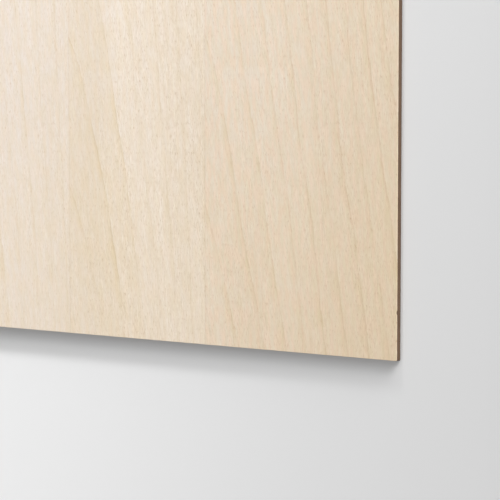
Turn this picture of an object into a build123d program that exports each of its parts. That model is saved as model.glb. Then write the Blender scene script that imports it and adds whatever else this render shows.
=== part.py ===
from build123d import *
import os

# A wood veneer sheet: a thin maple face veneer bonded to a plain brown backing board.
# Millimetres, +Z up. The sheet lies flat with its veneer on top. The origin is the centre of the
# underside, +X runs across the grain and +Y runs along it.

# Driving dimensions
SHEET_WIDTH = 305.0  # across the grain, 12 in stock
SHEET_LENGTH = 610.0  # along the grain, 24 in stock
BOARD_THICKNESS = 2.7  # the brown board that shows on the cut edges
VENEER_THICKNESS = 0.5  # the maple leaf on the face


def sheet_layer(bottom_z, thickness):
    """One full-size layer of the sheet, with square-cut edges, standing on the height bottom_z."""
    outline = Plane.XY.offset(bottom_z) * Rectangle(SHEET_WIDTH, SHEET_LENGTH)
    return extrude(outline, thickness)


def backing_board():
    """The brown board that carries the veneer and rests on the floor."""
    return sheet_layer(0.0, BOARD_THICKNESS)


def face_veneer():
    """The maple veneer, glued face to face on the board and trimmed flush with it."""
    return sheet_layer(BOARD_THICKNESS, VENEER_THICKNESS)


pieces = {
    "backing_board": backing_board(),
    "face_veneer": face_veneer(),
}

os.makedirs("parts", exist_ok=True)
for node, solid in pieces.items():
    export_step(solid, f"parts/{node}.step")
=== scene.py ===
import math

import bmesh
import bpy
from mathutils import Matrix, Vector, noise


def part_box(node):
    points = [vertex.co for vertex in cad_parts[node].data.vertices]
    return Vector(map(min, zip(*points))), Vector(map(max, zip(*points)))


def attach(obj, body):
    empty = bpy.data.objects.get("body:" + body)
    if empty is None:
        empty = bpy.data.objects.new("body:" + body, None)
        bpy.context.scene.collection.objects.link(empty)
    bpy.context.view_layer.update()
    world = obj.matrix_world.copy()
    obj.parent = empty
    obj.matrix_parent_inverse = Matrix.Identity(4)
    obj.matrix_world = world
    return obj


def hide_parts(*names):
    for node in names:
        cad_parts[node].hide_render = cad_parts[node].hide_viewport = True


# A maple-faced veneer sheet lying on a pale floor, seen from above one corner.
# Lengths are metres in the scene. In the materials they are millimetres, and their names end in MM.
MM = 0.001

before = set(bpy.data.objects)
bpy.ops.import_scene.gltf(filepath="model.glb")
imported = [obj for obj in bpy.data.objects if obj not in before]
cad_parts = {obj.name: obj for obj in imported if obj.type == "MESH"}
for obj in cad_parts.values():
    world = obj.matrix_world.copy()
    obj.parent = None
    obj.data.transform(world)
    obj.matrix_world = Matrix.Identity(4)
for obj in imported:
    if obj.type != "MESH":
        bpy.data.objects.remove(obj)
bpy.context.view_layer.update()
board_low, board_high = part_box("backing_board")
veneer_low, veneer_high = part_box("face_veneer")
near_corner = Vector((veneer_high.x, veneer_low.y, veneer_high.z))

# Where the near corner of the sheet lies in the 500 x 500 picture, and how the camera sees it
PICTURE_PX = 500.0
SENSOR_MM = 36.0
CORNER_PX = (396.4, 361.2)
FOCAL_PX = 1838.0
PX_PER_MM = 2.43
CAMERA_YAW = math.radians(35.8)
CAMERA_PITCH = math.radians(3.85)
CAMERA_CLIP = 0.01

# The cut edges: points round the outline, how far fibres are torn back, how long a tear is, and how far
# one ring lies from the next in the pattern of tears
RIM_STEP = 0.75 * MM
VENEER_TEAR = 0.05 * MM
BOARD_TEAR = 0.07 * MM
TEAR_LENGTH = 1.7 * MM
TEAR_RISE = 0.4 * MM

# The one chip in the right arris
CHIP_ABOVE_CORNER = 19.8 * MM
CHIP_LENGTH = 0.9 * MM
CHIP_DEPTH = 0.45 * MM

# Rings of each layer from the bottom up: height above its underside, inset from its edge, share of the chip.
# The veneer's upper arris and the board's lower one are eased. The board's edge goes up in even steps.
veneer_height = veneer_high.z - veneer_low.z
board_height = board_high.z - board_low.z
VENEER_RINGS = (
    (0.0, 0.0, 0.7),
    (veneer_height - 0.14 * MM, 0.0, 1.0),
    (veneer_height - 0.04 * MM, 0.03 * MM, 1.0),
    (veneer_height, 0.10 * MM, 1.0),
)
BOARD_EASE = 0.10 * MM
BOARD_STEPS = 4
board_step = (board_height - BOARD_EASE) / BOARD_STEPS
BOARD_RINGS = (
    (0.0, 0.14 * MM, 0.0),
    (BOARD_EASE, 0.02 * MM, 0.0),
    *((BOARD_EASE + step * board_step, 0.0, 0.0) for step in range(1, BOARD_STEPS + 1)),
)

# The bake's map, whose side is 1: room between its islands, and how wide each layer's edges are in it
MAP_GAP = 0.004
VENEER_EDGE_IN_MAP = 0.02
BOARD_EDGE_IN_MAP = 0.04

# The floor lies a hair below the sheet
FLOOR_SIDE = 12.0
FLOOR_DROP = 0.05 * MM

# The veneer is spliced from leaves of one width, trimmed at the sheet's left and right edges. They are
# counted from the first joint on. The leaf before it has the number -1, and the last is the rightmost.
LEAF_WIDTH_MM = 79.2
FIRST_JOINT_MM = -104.6
LAST_LEAF = 2.0
SEED_PER_LEAF = 7.3
JOINT_LINE_MM = (0.6, 0.1)
JOINT_DARK = 0.10

# Each leaf in turn: how warm its wood is at its joint, how strongly painted sheen pales its outer side, and
# its slip in mm
LEAF_LOOKS = ((0.00, 0.20, 0.0), (0.00, 0.00, 0.0), (0.23, 0.31, 3.5), (0.45, 0.00, 0.0))
OUTER_SIDE_MM = (14.0, 36.0)

# The wood gets warmer across each leaf, by so much per mm, partly as its own tone and partly as painted sheen
# that whitens the left. It gets warmer towards the foot of the sheet, and higher up painted sheen whitens it.
WARMER_ACROSS = 0.0024
LAST_WARMER_ACROSS = 0.0043
FOOT_MM = (30.0, 120.0)
PAINTED_SHEEN_BY_HEIGHT = (0.14, -0.06)

# Painted shade: the last leaf also darkens towards its outer foot, where the light falls off, by so much per
# mm from a slanting line on
LAST_PAINTED_SHADE = 0.0004
SLANTING_LINE_MM = 25.0

# How the leaves were cut: a plane beside the heart of a big, slightly tapering log
HEART_ASIDE_MM = 18.6
HEART_DEPTH_MM = 351.7
LOG_TAPER = 0.024
FIRST_RING_MM = 353.65
RING_WIDTH_MM = 1.46
RING_WIDENING = 0.165

# Each growth ring in turn: how strong the dark line at its end is, how golden its wood is, and how dark
RING_LOOKS = (
    (0.85, 0.05, 0.03), (0.94, 0.09, 0.04), (0.75, 0.07, 0.015), (0.68, 0.01, 0.0), (0.98, 0.01, 0.0),
    (0.74, 0.02, 0.0), (0.80, 0.02, 0.0), (0.58, 0.02, 0.0), (0.95, 0.03, 0.0), (0.65, 0.02, 0.0),
    (0.80, 0.03, 0.0), (0.50, 0.01, 0.0),
)
RING_GOLD = 1.3
LAST_RING_GOLD = 0.6

# The growth lines' course: towards the foot the last leaf's lines fan out a little round one point of it,
# and the others' close up. Between the joint and that point they stand more upright. All sway a little
# and are ragged.
FAN_ACROSS_MM = 20.0
FAN_HEIGHT_MM = 60.0
FAN = -0.0008
LAST_FAN = 0.0011
UPRIGHT = 0.003
SWAY_MM = 2.5
RAGGED_MM = 0.8

# The growth lines' strength: it comes and goes along them, and in all leaves but the last they are fainter
# on the outer side and at the foot. Each line has a dark core and, before it, a golden skirt.
FADING_FROM = (0.35, 0.60)
FADING_STRENGTH = (0.43, 1.12)
OUTER_FAINT_MM = (25.0, 40.0)
OUTER_FAINT = (1.0, 0.52)
FOOT_FAINT_MM = (8.0, 30.0)
FOOT_FAINT = (0.4, 1.0)
LAST_STRENGTH = 0.85
CORE_MM = (1.1, 0.4)
CORE_DARK = 0.155
SKIRT_MM = (5.0, 0.0)
SKIRT_DARK = 0.02
SKIRT_GOLD = 0.20

# Sizes of the veneer's patterns, across and along the grain
SWAY_SIZE_MM = (30.0, 70.0)
RAGGED_SIZE_MM = (1.2, 6.0)
FADING_SIZE_MM = (14.0, 24.0)
BROAD_SIZE_MM = (14.0, 130.0)
STREAK_SIZE_MM = (2.0, 30.0)
MOTTLE_SIZE_MM = (9.0, 6.0)
BAND_SIZE_MM = (6.0, 50.0)
FINE_SIZE_MM = (0.55, 8.0)
GRAIN_SIZE_MM = (0.32, 2.6)
PORE_SIZE_MM = (0.34, 1.9)
TINGE_SIZE_MM = (2.4, 11.0)
BLUSH_SIZE_MM = (1.8, 9.0)

# Seeds of the patterns that are alike in all leaves, and how much detail a pattern has
FADING_SEED = 17.3
BAND_SEED = 8.8
GRAIN_SEED = 3.3
PORE_SEED = 11.0
TINGE_SEED = 21.0
BLUSH_SEED = 15.0
BROAD_DETAIL = 2.0
FINE_DETAIL = 1.0
BLUSH_DETAIL = 0.5

# How much the pores darken the wood, and how much the other patterns change it each way. The fine ones
# come and go in bands.
BROAD_DARK = 0.06
STREAK_DARK = 0.04
MOTTLE_DARK = 0.02
FINE_DARK = 0.09
GRAIN_DARK = 0.23
PORE_FROM = (0.61, 0.72)
PORE_DARK = 0.30
BAND_FROM = (0.35, 0.65)
BAND_STRENGTH = (0.75, 1.25)
EVEN_DARK = 0.07

# How much golden tinge and peach blush there is, and where these patterns set in
TINGE_FROM = (0.35, 0.65)
TINGE_GOLD = 0.15
BLUSH_FROM = (0.40, 0.65)
BLUSH = 0.12
LAST_BLUSH = 0.34

# The veneer's surface: sanded satin, with fibres that stand a little higher than the pores
FIBRE_LEAN = 0.08
VENEER_ROUGHNESS = 0.44
FIBRE_ROUGHNESS = 0.12
FIBRE_RELIEF = 0.6
VENEER_RELIEF = 0.006 * MM
VENEER_GLOSS = 0.4

# The board: size and amount of its fibres and clouds, and its raw surface
BOARD_FIBRE_MM = 0.6
BOARD_LAYER_MM = 0.25
BOARD_CLOUD_MM = 7.0
BOARD_CLOUD_SEED = 6.5
BOARD_DETAIL = 3.0
BOARD_DEPTH = 0.45
BOARD_FIBRE_DARK = 0.5
BOARD_CLOUD_DARK = 0.4
BOARD_ROUGHNESS = 0.85
BOARD_RELIEF = 0.04 * MM
BOARD_GLOSS = 0.25


class Shader:
    """Adds nodes to one new material. A method that makes a value returns the node's output."""

    def __init__(self, name):
        self.material = bpy.data.materials.new(name)
        self.material.use_nodes = True
        self.tree = self.material.node_tree
        self.surface = self.tree.nodes["Principled BSDF"]
        place = self.tree.nodes.new("ShaderNodeTexCoord").outputs["Object"]
        parts = self.tree.nodes.new("ShaderNodeSeparateXYZ")
        self.tree.links.new(place, parts.inputs[0])
        self.x = self.multiply(parts.outputs[0], 1.0 / MM)
        self.y = self.multiply(parts.outputs[1], 1.0 / MM)
        self.z = self.multiply(parts.outputs[2], 1.0 / MM)

    def put(self, value, socket):
        """Links a node's output to a socket, or sets the socket to a plain value."""
        if isinstance(value, bpy.types.NodeSocket):
            self.tree.links.new(value, socket)
        else:
            socket.default_value = value

    def math(self, operation, first, second=0.0, third=0.0):
        node = self.tree.nodes.new("ShaderNodeMath")
        node.operation = operation
        for value, socket in zip((first, second, third), node.inputs):
            self.put(value, socket)
        return node.outputs[0]

    def add(self, first, second):
        return self.math("ADD", first, second)

    def multiply(self, first, second):
        return self.math("MULTIPLY", first, second)

    def step(self, value, low, high, to_low=0.0, to_high=1.0):
        """A smooth step from to_low to to_high as value goes from low to high."""
        node = self.tree.nodes.new("ShaderNodeMapRange")
        node.interpolation_type = "SMOOTHSTEP"
        for setting, socket in zip((value, low, high, to_low, to_high), node.inputs):
            self.put(setting, socket)
        return node.outputs[0]

    def noise(self, across, along, third, detail):
        """Noise from 0 to 1 over three coordinates. A number as the third is a seed for a flat pattern."""
        spot = self.tree.nodes.new("ShaderNodeCombineXYZ")
        for value, socket in zip((across, along, third), spot.inputs):
            self.put(value, socket)
        node = self.tree.nodes.new("ShaderNodeTexNoise")
        node.inputs["Scale"].default_value = 1.0
        node.inputs["Detail"].default_value = detail
        self.put(spot.outputs[0], node.inputs["Vector"])
        return node.outputs[0]

    def spread(self, value, amount):
        """Noise from 0 to 1 turned into a change of about that amount each way."""
        return self.math("MULTIPLY_ADD", value, 2.0 * amount, -amount)

    def pick(self, number, rows):
        """The three values of the row that a whole number stands for, counted from -1."""
        node = self.tree.nodes.new("ShaderNodeValToRGB")
        node.color_ramp.interpolation = "CONSTANT"
        stops = node.color_ramp.elements
        stops.remove(stops[1])
        for index, row in enumerate(rows):
            stop = stops[0] if index == 0 else stops.new(index / len(rows))
            stop.color = (*row, 1.0)
        middle_of_row = self.math("MULTIPLY_ADD", self.add(number, 1.0), 1 / len(rows), 0.5 / len(rows))
        self.put(middle_of_row, node.inputs[0])
        parts = self.tree.nodes.new("ShaderNodeSeparateColor")
        self.put(node.outputs[0], parts.inputs[0])
        return parts.outputs

    def mix(self, factor, first, second):
        """A mix of two colours. A factor below 0 leads away from the second, so strokes lighten too."""
        node = self.tree.nodes.new("ShaderNodeMix")
        node.data_type = "RGBA"
        node.clamp_factor = False
        self.put(factor, node.inputs[0])
        self.put(first, node.inputs[6])
        self.put(second, node.inputs[7])
        return node.outputs[2]

    def bump(self, height, distance):
        node = self.tree.nodes.new("ShaderNodeBump")
        node.inputs["Distance"].default_value = distance
        self.put(height, node.inputs["Height"])
        self.put(node.outputs[0], self.surface.inputs["Normal"])


class VeneerShader(Shader):
    """Knows a place by its leaf, how far across that leaf it is, and its height above the sheet's foot."""

    def __init__(self, name):
        super().__init__(name)
        past_joint = self.add(self.x, -FIRST_JOINT_MM)
        leaf = self.math("FLOOR", self.multiply(past_joint, 1.0 / LEAF_WIDTH_MM))
        self.leaf = self.math("MINIMUM", leaf, LAST_LEAF)
        leaf_start = self.math("MULTIPLY_ADD", self.leaf, LEAF_WIDTH_MM, FIRST_JOINT_MM)
        self.across = self.math("SUBTRACT", self.x, leaf_start)
        self.height = self.add(self.y, -veneer_low.y / MM)
        self.fibre = self.math("MULTIPLY_ADD", self.height, FIBRE_LEAN, self.across)
        self.leaf_seed = self.multiply(self.leaf, SEED_PER_LEAF)

    def by_leaf(self, others, last):
        """One value in the last leaf, and another in the others."""
        return self.step(self.leaf, LAST_LEAF - 1.0, LAST_LEAF, others, last)

    def pattern(self, across, size, seed, detail=BROAD_DETAIL):
        """Noise from 0 to 1 in patches of a width across and a length along the grain."""
        width, length = size
        along = self.multiply(self.height, 1.0 / length)
        return self.noise(self.multiply(across, 1.0 / width), along, seed, detail)


def ring_place(wood, slip):
    """The number of a place's growth ring, and how many mm it lies before the line at the ring's end."""
    from_fan = wood.add(wood.across, -FAN_ACROSS_MM)
    above_fan = wood.add(wood.height, -FAN_HEIGHT_MM)
    fan = wood.multiply(wood.by_leaf(FAN, LAST_FAN), wood.multiply(from_fan, above_fan))
    upright = wood.multiply(wood.math("MINIMUM", from_fan, 0.0), UPRIGHT)
    fan = wood.add(fan, wood.multiply(upright, above_fan))
    shift = wood.math("SUBTRACT", fan, slip)
    sway = wood.spread(wood.pattern(wood.across, SWAY_SIZE_MM, wood.leaf_seed), SWAY_MM)
    ragged = wood.spread(wood.pattern(wood.fibre, RAGGED_SIZE_MM, wood.leaf_seed), RAGGED_MM)
    bent = wood.add(wood.add(wood.across, shift), wood.add(sway, ragged))

    # The rings go round the heart, and each is a little wider than the one inside it
    aside = wood.add(bent, HEART_ASIDE_MM)
    depth = wood.math("MULTIPLY_ADD", wood.height, LOG_TAPER, HEART_DEPTH_MM)
    radius = wood.math("SQRT", wood.add(wood.multiply(aside, aside), wood.multiply(depth, depth)))
    widening = wood.math("MULTIPLY_ADD", wood.add(radius, -FIRST_RING_MM), RING_WIDENING, 1.0)
    widening = wood.math("SQRT", widening)
    rings = wood.multiply(wood.add(widening, -1.0), 2.0 / (RING_WIDTH_MM * RING_WIDENING))
    ring_width = wood.multiply(widening, RING_WIDTH_MM)
    unripe = wood.math("SUBTRACT", 1.0, wood.math("FRACT", rings))
    before_line = wood.math("DIVIDE", wood.multiply(wood.multiply(unripe, ring_width), radius), aside)
    return wood.math("FLOOR", rings), before_line


def growth_lines(wood, slip):
    """How golden and how dark the growth rings and their lines make the wood."""
    ring, before_line = ring_place(wood, slip)
    strength, golden, shade = wood.pick(ring, RING_LOOKS)
    fading = wood.pattern(wood.across, FADING_SIZE_MM, FADING_SEED)
    strength = wood.multiply(strength, wood.step(fading, *FADING_FROM, *FADING_STRENGTH))
    outer_faint = wood.step(wood.across, *OUTER_FAINT_MM, *OUTER_FAINT)
    foot_faint = wood.step(wood.height, *FOOT_FAINT_MM, *FOOT_FAINT)
    faint = wood.multiply(outer_faint, foot_faint)
    strength = wood.multiply(strength, wood.by_leaf(faint, LAST_STRENGTH))
    skirt = wood.multiply(strength, wood.step(before_line, *SKIRT_MM))
    core = wood.multiply(strength, wood.step(before_line, *CORE_MM))
    golden = wood.multiply(golden, wood.by_leaf(RING_GOLD, LAST_RING_GOLD))
    golden = wood.math("MULTIPLY_ADD", skirt, SKIRT_GOLD, golden)
    dark = wood.math("MULTIPLY_ADD", skirt, SKIRT_DARK, wood.multiply(core, CORE_DARK))
    shade = wood.multiply(shade, wood.by_leaf(1.0, 0.0))
    return golden, wood.add(dark, shade)


def broad_figure(wood):
    """How dark the broad bands, the streaks and the mottle make the wood."""
    dark = 0.0
    for across, size, amount in (
        (wood.fibre, BROAD_SIZE_MM, BROAD_DARK),
        (wood.fibre, STREAK_SIZE_MM, STREAK_DARK),
        (wood.across, MOTTLE_SIZE_MM, MOTTLE_DARK),
    ):
        dark = wood.add(dark, wood.spread(wood.pattern(across, size, wood.leaf_seed), amount))
    return dark


def fine_strokes(wood, outer_painted_sheen):
    """How dark the fine strokes make the wood, and the fibres and pores, which are in relief too."""
    fibres = wood.pattern(wood.fibre, FINE_SIZE_MM, wood.leaf_seed, FINE_DETAIL)
    grain = wood.pattern(wood.fibre, GRAIN_SIZE_MM, GRAIN_SEED, FINE_DETAIL)
    pores = wood.step(wood.pattern(wood.fibre, PORE_SIZE_MM, PORE_SEED, FINE_DETAIL), *PORE_FROM)
    strokes = wood.add(wood.spread(fibres, FINE_DARK), wood.spread(grain, GRAIN_DARK))
    strokes = wood.add(strokes, wood.multiply(pores, PORE_DARK))
    # The strokes are stronger where the painted sheen pales the wood
    strokes = wood.multiply(strokes, wood.add(outer_painted_sheen, 1.0))
    band = wood.pattern(wood.fibre, BAND_SIZE_MM, BAND_SEED)
    return wood.multiply(strokes, wood.step(band, *BAND_FROM, *BAND_STRENGTH)), fibres, pores


def painted_shade_outer_foot(wood):
    """Painted shade: how dark the last leaf gets towards its outer foot, where the light falls off."""
    height = wood.math("MINIMUM", wood.height, FOOT_MM[1])
    past_line = wood.add(wood.math("SUBTRACT", wood.across, height), SLANTING_LINE_MM)
    return wood.multiply(past_line, wood.by_leaf(0.0, LAST_PAINTED_SHADE))


def joint_lines(wood):
    """How dark the glued joints between the leaves are. The last leaf ends at the sheet's edge instead."""
    from_start = wood.math("ABSOLUTE", wood.across)
    from_end = wood.math("ABSOLUTE", wood.add(wood.across, -LEAF_WIDTH_MM))
    from_end = wood.add(from_end, wood.by_leaf(0.0, LEAF_WIDTH_MM))
    return wood.step(wood.math("MINIMUM", from_start, from_end), *JOINT_LINE_MM, 0.0, JOINT_DARK)


def maple_colour(wood, warmth, outer_painted_sheen, golden, dark):
    """The colour of the wood, from pale to warm, with its golden tinge, its blush, painted sheen and what is
    dark in it, painted shade included.
    """
    pale = (0.699, 0.633, 0.581, 1.0)
    painted_sheen_colour = (0.840, 0.744, 0.639, 1.0)
    warm = (0.762, 0.645, 0.481, 1.0)
    gold = (0.650, 0.510, 0.240, 1.0)
    peach = (0.805, 0.603, 0.458, 1.0)
    brown = (0.420, 0.265, 0.110, 1.0)
    red_brown = (0.450, 0.245, 0.106, 1.0)

    # Painted sheen: paler higher up the sheet, warmer towards the foot
    warmth = wood.add(warmth, wood.step(wood.height, *FOOT_MM, *PAINTED_SHEEN_BY_HEIGHT))
    warmer = wood.by_leaf(WARMER_ACROSS, LAST_WARMER_ACROSS)
    # Pale to warm across each leaf: partly the wood's tone, partly painted sheen on the left
    colour = wood.mix(wood.math("MULTIPLY_ADD", wood.across, warmer, warmth), pale, warm)
    # Painted sheen pales the outer side of the leaves
    colour = wood.mix(outer_painted_sheen, colour, painted_sheen_colour)
    tinge = wood.step(wood.pattern(wood.fibre, TINGE_SIZE_MM, TINGE_SEED), *TINGE_FROM, 0.0, TINGE_GOLD)
    colour = wood.mix(wood.add(golden, tinge), colour, gold)
    blush = wood.pattern(wood.fibre, BLUSH_SIZE_MM, BLUSH_SEED, BLUSH_DETAIL)
    blush = wood.step(blush, *BLUSH_FROM, 0.0, wood.by_leaf(BLUSH, LAST_BLUSH))
    colour = wood.mix(blush, colour, peach)
    darkest = wood.mix(wood.by_leaf(0.0, 1.0), brown, red_brown)
    return wood.mix(wood.add(dark, EVEN_DARK), colour, darkest)


def maple_veneer():
    """Pale maple in slip-matched leaves, with leaning growth lines, fine fibres, flecks and glued joints, and
    with painted sheen and shade.
    """
    wood = VeneerShader("maple_veneer")
    warmth, outer_painted_sheen, slip = wood.pick(wood.leaf, LEAF_LOOKS)
    # Painted sheen: a paler band on each leaf's outer side
    outer_painted_sheen = wood.multiply(outer_painted_sheen, wood.step(wood.across, *OUTER_SIDE_MM))
    golden, dark = growth_lines(wood, slip)
    strokes, fibres, pores = fine_strokes(wood, outer_painted_sheen)
    # The dark includes painted shade towards the last leaf's outer foot
    for more in (broad_figure(wood), strokes, painted_shade_outer_foot(wood), joint_lines(wood)):
        dark = wood.add(dark, more)
    colour = maple_colour(wood, warmth, outer_painted_sheen, golden, dark)
    roughness = wood.math("MULTIPLY_ADD", fibres, FIBRE_ROUGHNESS, VENEER_ROUGHNESS)
    wood.put(colour, wood.surface.inputs["Base Color"])
    wood.put(roughness, wood.surface.inputs["Roughness"])
    wood.bump(wood.math("SUBTRACT", wood.multiply(fibres, FIBRE_RELIEF), pores), VENEER_RELIEF)
    wood.surface.inputs["Specular IOR Level"].default_value = VENEER_GLOSS
    return wood.material


def brown_board():
    """Raw pressed-fibre board: brown, matt, with fine fibres that show on the cut edges."""
    pale = (0.178, 0.114, 0.075, 1.0)
    deep = (0.092, 0.057, 0.038, 1.0)
    board = Shader("brown_board")
    layers = board.multiply(board.z, 1 / BOARD_LAYER_MM)
    fibre_x = board.multiply(board.x, 1 / BOARD_FIBRE_MM)
    fibre_y = board.multiply(board.y, 1 / BOARD_FIBRE_MM)
    fibres = board.noise(fibre_x, fibre_y, layers, BOARD_DETAIL)
    cloud_x = board.multiply(board.x, 1 / BOARD_CLOUD_MM)
    cloud_y = board.multiply(board.y, 1 / BOARD_CLOUD_MM)
    clouds = board.noise(cloud_x, cloud_y, BOARD_CLOUD_SEED, BOARD_DETAIL)
    uneven = board.add(board.spread(fibres, BOARD_FIBRE_DARK), board.spread(clouds, BOARD_CLOUD_DARK))
    colour = board.mix(board.add(BOARD_DEPTH, uneven), pale, deep)
    board.put(colour, board.surface.inputs["Base Color"])
    board.surface.inputs["Roughness"].default_value = BOARD_ROUGHNESS
    board.surface.inputs["Specular IOR Level"].default_value = BOARD_GLOSS
    board.bump(fibres, BOARD_RELIEF)
    return board.material


def floor_finish():
    """A plain pale grey, nearly without gloss."""
    floor = bpy.data.materials.new("pale_floor")
    floor.use_nodes = True
    surface = floor.node_tree.nodes["Principled BSDF"]
    surface.inputs["Base Color"].default_value = (0.711, 0.711, 0.711, 1.0)
    surface.inputs["Roughness"].default_value = 0.9
    surface.inputs["Specular IOR Level"].default_value = 0.1
    return floor


def outline(low, high):
    """Points round a layer, anticlockwise from its lowest corner.

    Each is its place, the way inward, the number of its side and how far along that side it is, from 0 to 1.
    """
    corners = [Vector(pair) for pair in ((low.x, low.y), (high.x, low.y), (high.x, high.y), (low.x, high.y))]
    inwards = [Vector(pair) for pair in ((0, 1), (-1, 0), (0, -1), (1, 0))]
    points = []
    for side in range(4):
        start = corners[side]
        end = corners[(side + 1) % 4]
        steps = round((end - start).length / RIM_STEP)
        for step in range(steps):
            inward = inwards[side] + inwards[side - 1] if step == 0 else inwards[side]
            points.append((start.lerp(end, step / steps), inward, side, step / steps))
    return points


def chip(place):
    """How far the one chip in the right arris reaches in from the edge there."""
    if place.x < veneer_high.x - RIM_STEP:
        return 0.0
    off = (place.y - veneer_low.y - CHIP_ABOVE_CORNER) / CHIP_LENGTH
    return CHIP_DEPTH * max(0.0, 1.0 - off * off)


def torn_ring(form, points, level, ring, bottom, tear):
    """The vertices of one ring of a layer, with fibres torn back from the edge."""
    height, inset, chipped = ring
    vertices = []
    for place, inward, _, _ in points:
        where = Vector((place.x, place.y, level * TEAR_RISE)) / TEAR_LENGTH
        torn = tear * abs(noise.noise(where))
        spot = place + inward * (inset + torn + chipped * chip(place))
        vertices.append(form.verts.new((spot.x, spot.y, bottom + height)))
    return vertices


def map_cap(cap, bake_map, low, high, first, size):
    """Puts a cap in the bake's map as a square of a size, from the same first place both ways."""
    for corner in cap.loops:
        spot = corner.vert.co
        along = Vector(((spot.x - low.x) / (high.x - low.x), (spot.y - low.y) / (high.y - low.y)))
        corner[bake_map].uv = along * size + Vector((first, first))


def layer_mesh(name, low, high, rings, tear, main_cap, edge_in_map):
    """One layer of the sheet as a closed mesh with torn fibres along its cut edges.

    main_cap, 0 for the underside or 1 for the top, is the face that gets most of the bake's map. The edges
    lie round it there, and the other face, which is glued, lies small in one corner.
    """
    points = outline(low, high)
    form = bmesh.new()
    bake_map = form.loops.layers.uv.new("OFBake")
    rims = [torn_ring(form, points, level, ring, low.z, tear) for level, ring in enumerate(rings)]
    caps = (form.faces.new(reversed(rims[0])), form.faces.new(rims[-1]))
    border = 2 * MAP_GAP + edge_in_map
    map_cap(caps[main_cap], bake_map, low, high, border, 1 - 2 * border)
    map_cap(caps[1 - main_cap], bake_map, low, high, 1 - border, edge_in_map)
    middle = Vector((0.5, 0.5))
    for level, (lower, upper) in enumerate(zip(rims, rims[1:])):
        for index, (_, _, side, share) in enumerate(points):
            after = (index + 1) % len(points)
            # The next point's 0 is the start of the next side, so here it is the end of this one
            next_share = points[after][3] or 1.0
            wall = form.faces.new((lower[index], lower[after], upper[after], upper[index]))
            wall.smooth = True
            turn = Matrix.Rotation(math.radians(90 * side), 2)
            shares = ((share, level), (next_share, level), (next_share, level + 1), (share, level + 1))
            for corner, (run, rise) in zip(wall.loops, shares):
                x = (run - 0.5) * (1 - 2 * border)
                y = MAP_GAP - 0.5 + edge_in_map * rise / (len(rims) - 1)
                corner[bake_map].uv = turn @ Vector((x, y)) + middle
    mesh = bpy.data.meshes.new(name)
    form.to_mesh(mesh)
    form.free()
    return mesh


def add_layer(name, node, mesh, material):
    """A piece that rides on the sheet's one body and stands for a node."""
    piece = bpy.data.objects.new(name, mesh)
    mesh.materials.append(material)
    bpy.context.scene.collection.objects.link(piece)
    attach(piece, "root")
    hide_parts(node)


def add_floor():
    mesh = bpy.data.meshes.new("floor")
    form = bmesh.new()
    bmesh.ops.create_grid(form, x_segments=1, y_segments=1, size=FLOOR_SIDE / 2)
    form.to_mesh(mesh)
    form.free()
    floor = bpy.data.objects.new("floor", mesh)
    floor.location.z = board_low.z - FLOOR_DROP
    mesh.materials.append(floor_finish())
    bpy.context.scene.collection.objects.link(floor)


def add_light(name, kind, place, target, diffuse=True, gloss=True):
    light = bpy.data.lights.new(name, kind)
    lamp = bpy.data.objects.new(name, light)
    lamp.location = place
    lamp.rotation_euler = (Vector(target) - Vector(place)).to_track_quat("-Z", "Y").to_euler()
    lamp.visible_camera = False
    lamp.visible_diffuse = diffuse
    lamp.visible_glossy = gloss
    bpy.context.scene.collection.objects.link(lamp)
    return light


def add_key(name, azimuth, elevation, softness, strength):
    """A broad soft light from far away, with no glare. Angles are degrees, azimuth from +Y towards +X."""
    turn = math.radians(azimuth)
    rise = math.radians(elevation)
    level = math.cos(rise)
    way = Vector((level * math.sin(turn), level * math.cos(turn), math.sin(rise)))
    light = add_light(name, "SUN", near_corner + way, near_corner, gloss=False)
    light.angle = math.radians(softness)
    light.energy = strength


def add_softbox(name, offset, aim, size, spread, watts, diffuse=True, gloss=True):
    """A square softbox, placed and aimed by offsets from the near corner. Spread is in degrees."""
    place = near_corner + Vector(offset)
    light = add_light(name, "AREA", place, near_corner + Vector(aim), diffuse, gloss)
    light.shape = "SQUARE"
    light.size = size
    light.spread = math.radians(spread)
    light.energy = watts


def add_world(strength):
    world = bpy.data.worlds.new("studio")
    world.use_nodes = True
    sky = world.node_tree.nodes["Background"]
    sky.inputs["Color"].default_value = (1.0, 1.0, 1.0, 1.0)
    sky.inputs["Strength"].default_value = strength
    bpy.context.scene.world = world


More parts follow.
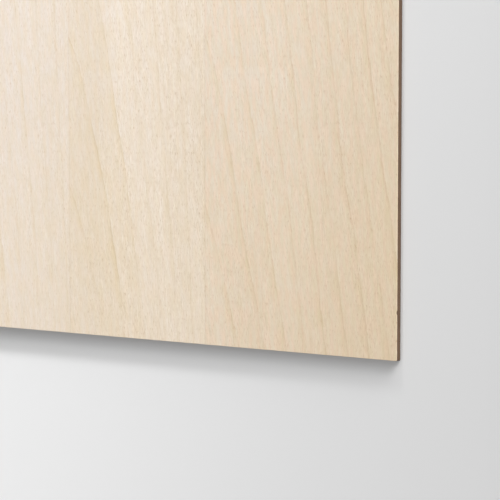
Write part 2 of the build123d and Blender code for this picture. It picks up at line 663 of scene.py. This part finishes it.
def add_lights():
    """Soft light from the front, from behind and from behind on the right.

    A narrow beam from far behind brightens the left side, a box overhead lifts the upper part of the picture,
    and one box shows only in the gloss.
    """
    add_world(strength=0.20)
    add_key("front_fill", azimuth=180, elevation=65, softness=60, strength=0.87)
    add_key("back_key", azimuth=30, elevation=15.7, softness=28, strength=2.37)
    add_key("right_key", azimuth=46, elevation=17.2, softness=30, strength=1.67)
    add_softbox(
        "left_softbox", offset=(-0.33, 3.2, 0.80), aim=(-0.33, 0.05, 0.0), size=0.28, spread=13.0,
        watts=1.00, gloss=False,
    )
    add_softbox(
        "top_softbox", offset=(-0.03, 0.36, 0.38), aim=(-0.03, 0.36, 0.0), size=0.3, spread=180,
        watts=0.46,
    )
    add_softbox(
        "sheen", offset=(-0.80, 0.62, 0.95), aim=(-0.10, 0.12, 0.0), size=0.5, spread=180,
        watts=5.5, diffuse=False,
    )


def add_camera():
    """The camera stands where the near corner falls on its pixel and the sheet has its scale there."""
    turn = Matrix.Rotation(CAMERA_YAW, 4, "Y") @ Matrix.Rotation(-CAMERA_PITCH, 4, "X")
    to_corner = Vector((CORNER_PX[0] - PICTURE_PX / 2, PICTURE_PX / 2 - CORNER_PX[1], -FOCAL_PX))
    lens = bpy.data.cameras.new("camera")
    lens.sensor_width = SENSOR_MM
    lens.lens = SENSOR_MM * FOCAL_PX / PICTURE_PX
    lens.clip_start = CAMERA_CLIP
    camera = bpy.data.objects.new("camera", lens)
    camera.matrix_world = Matrix.Translation(near_corner - turn @ to_corner * (MM / PX_PER_MM)) @ turn
    bpy.context.scene.collection.objects.link(camera)
    bpy.context.scene.camera = camera


veneer_mesh = layer_mesh(
    "veneer_leaf", veneer_low, veneer_high, VENEER_RINGS, VENEER_TEAR,
    main_cap=1, edge_in_map=VENEER_EDGE_IN_MAP,
)
board_mesh = layer_mesh(
    "board", board_low, board_high, BOARD_RINGS, BOARD_TEAR,
    main_cap=0, edge_in_map=BOARD_EDGE_IN_MAP,
)
add_layer("veneer_leaf", "face_veneer", veneer_mesh, maple_veneer())
add_layer("board", "backing_board", board_mesh, brown_board())
add_floor()
add_lights()
add_camera()
bpy.context.scene.view_settings.view_transform = "Standard"
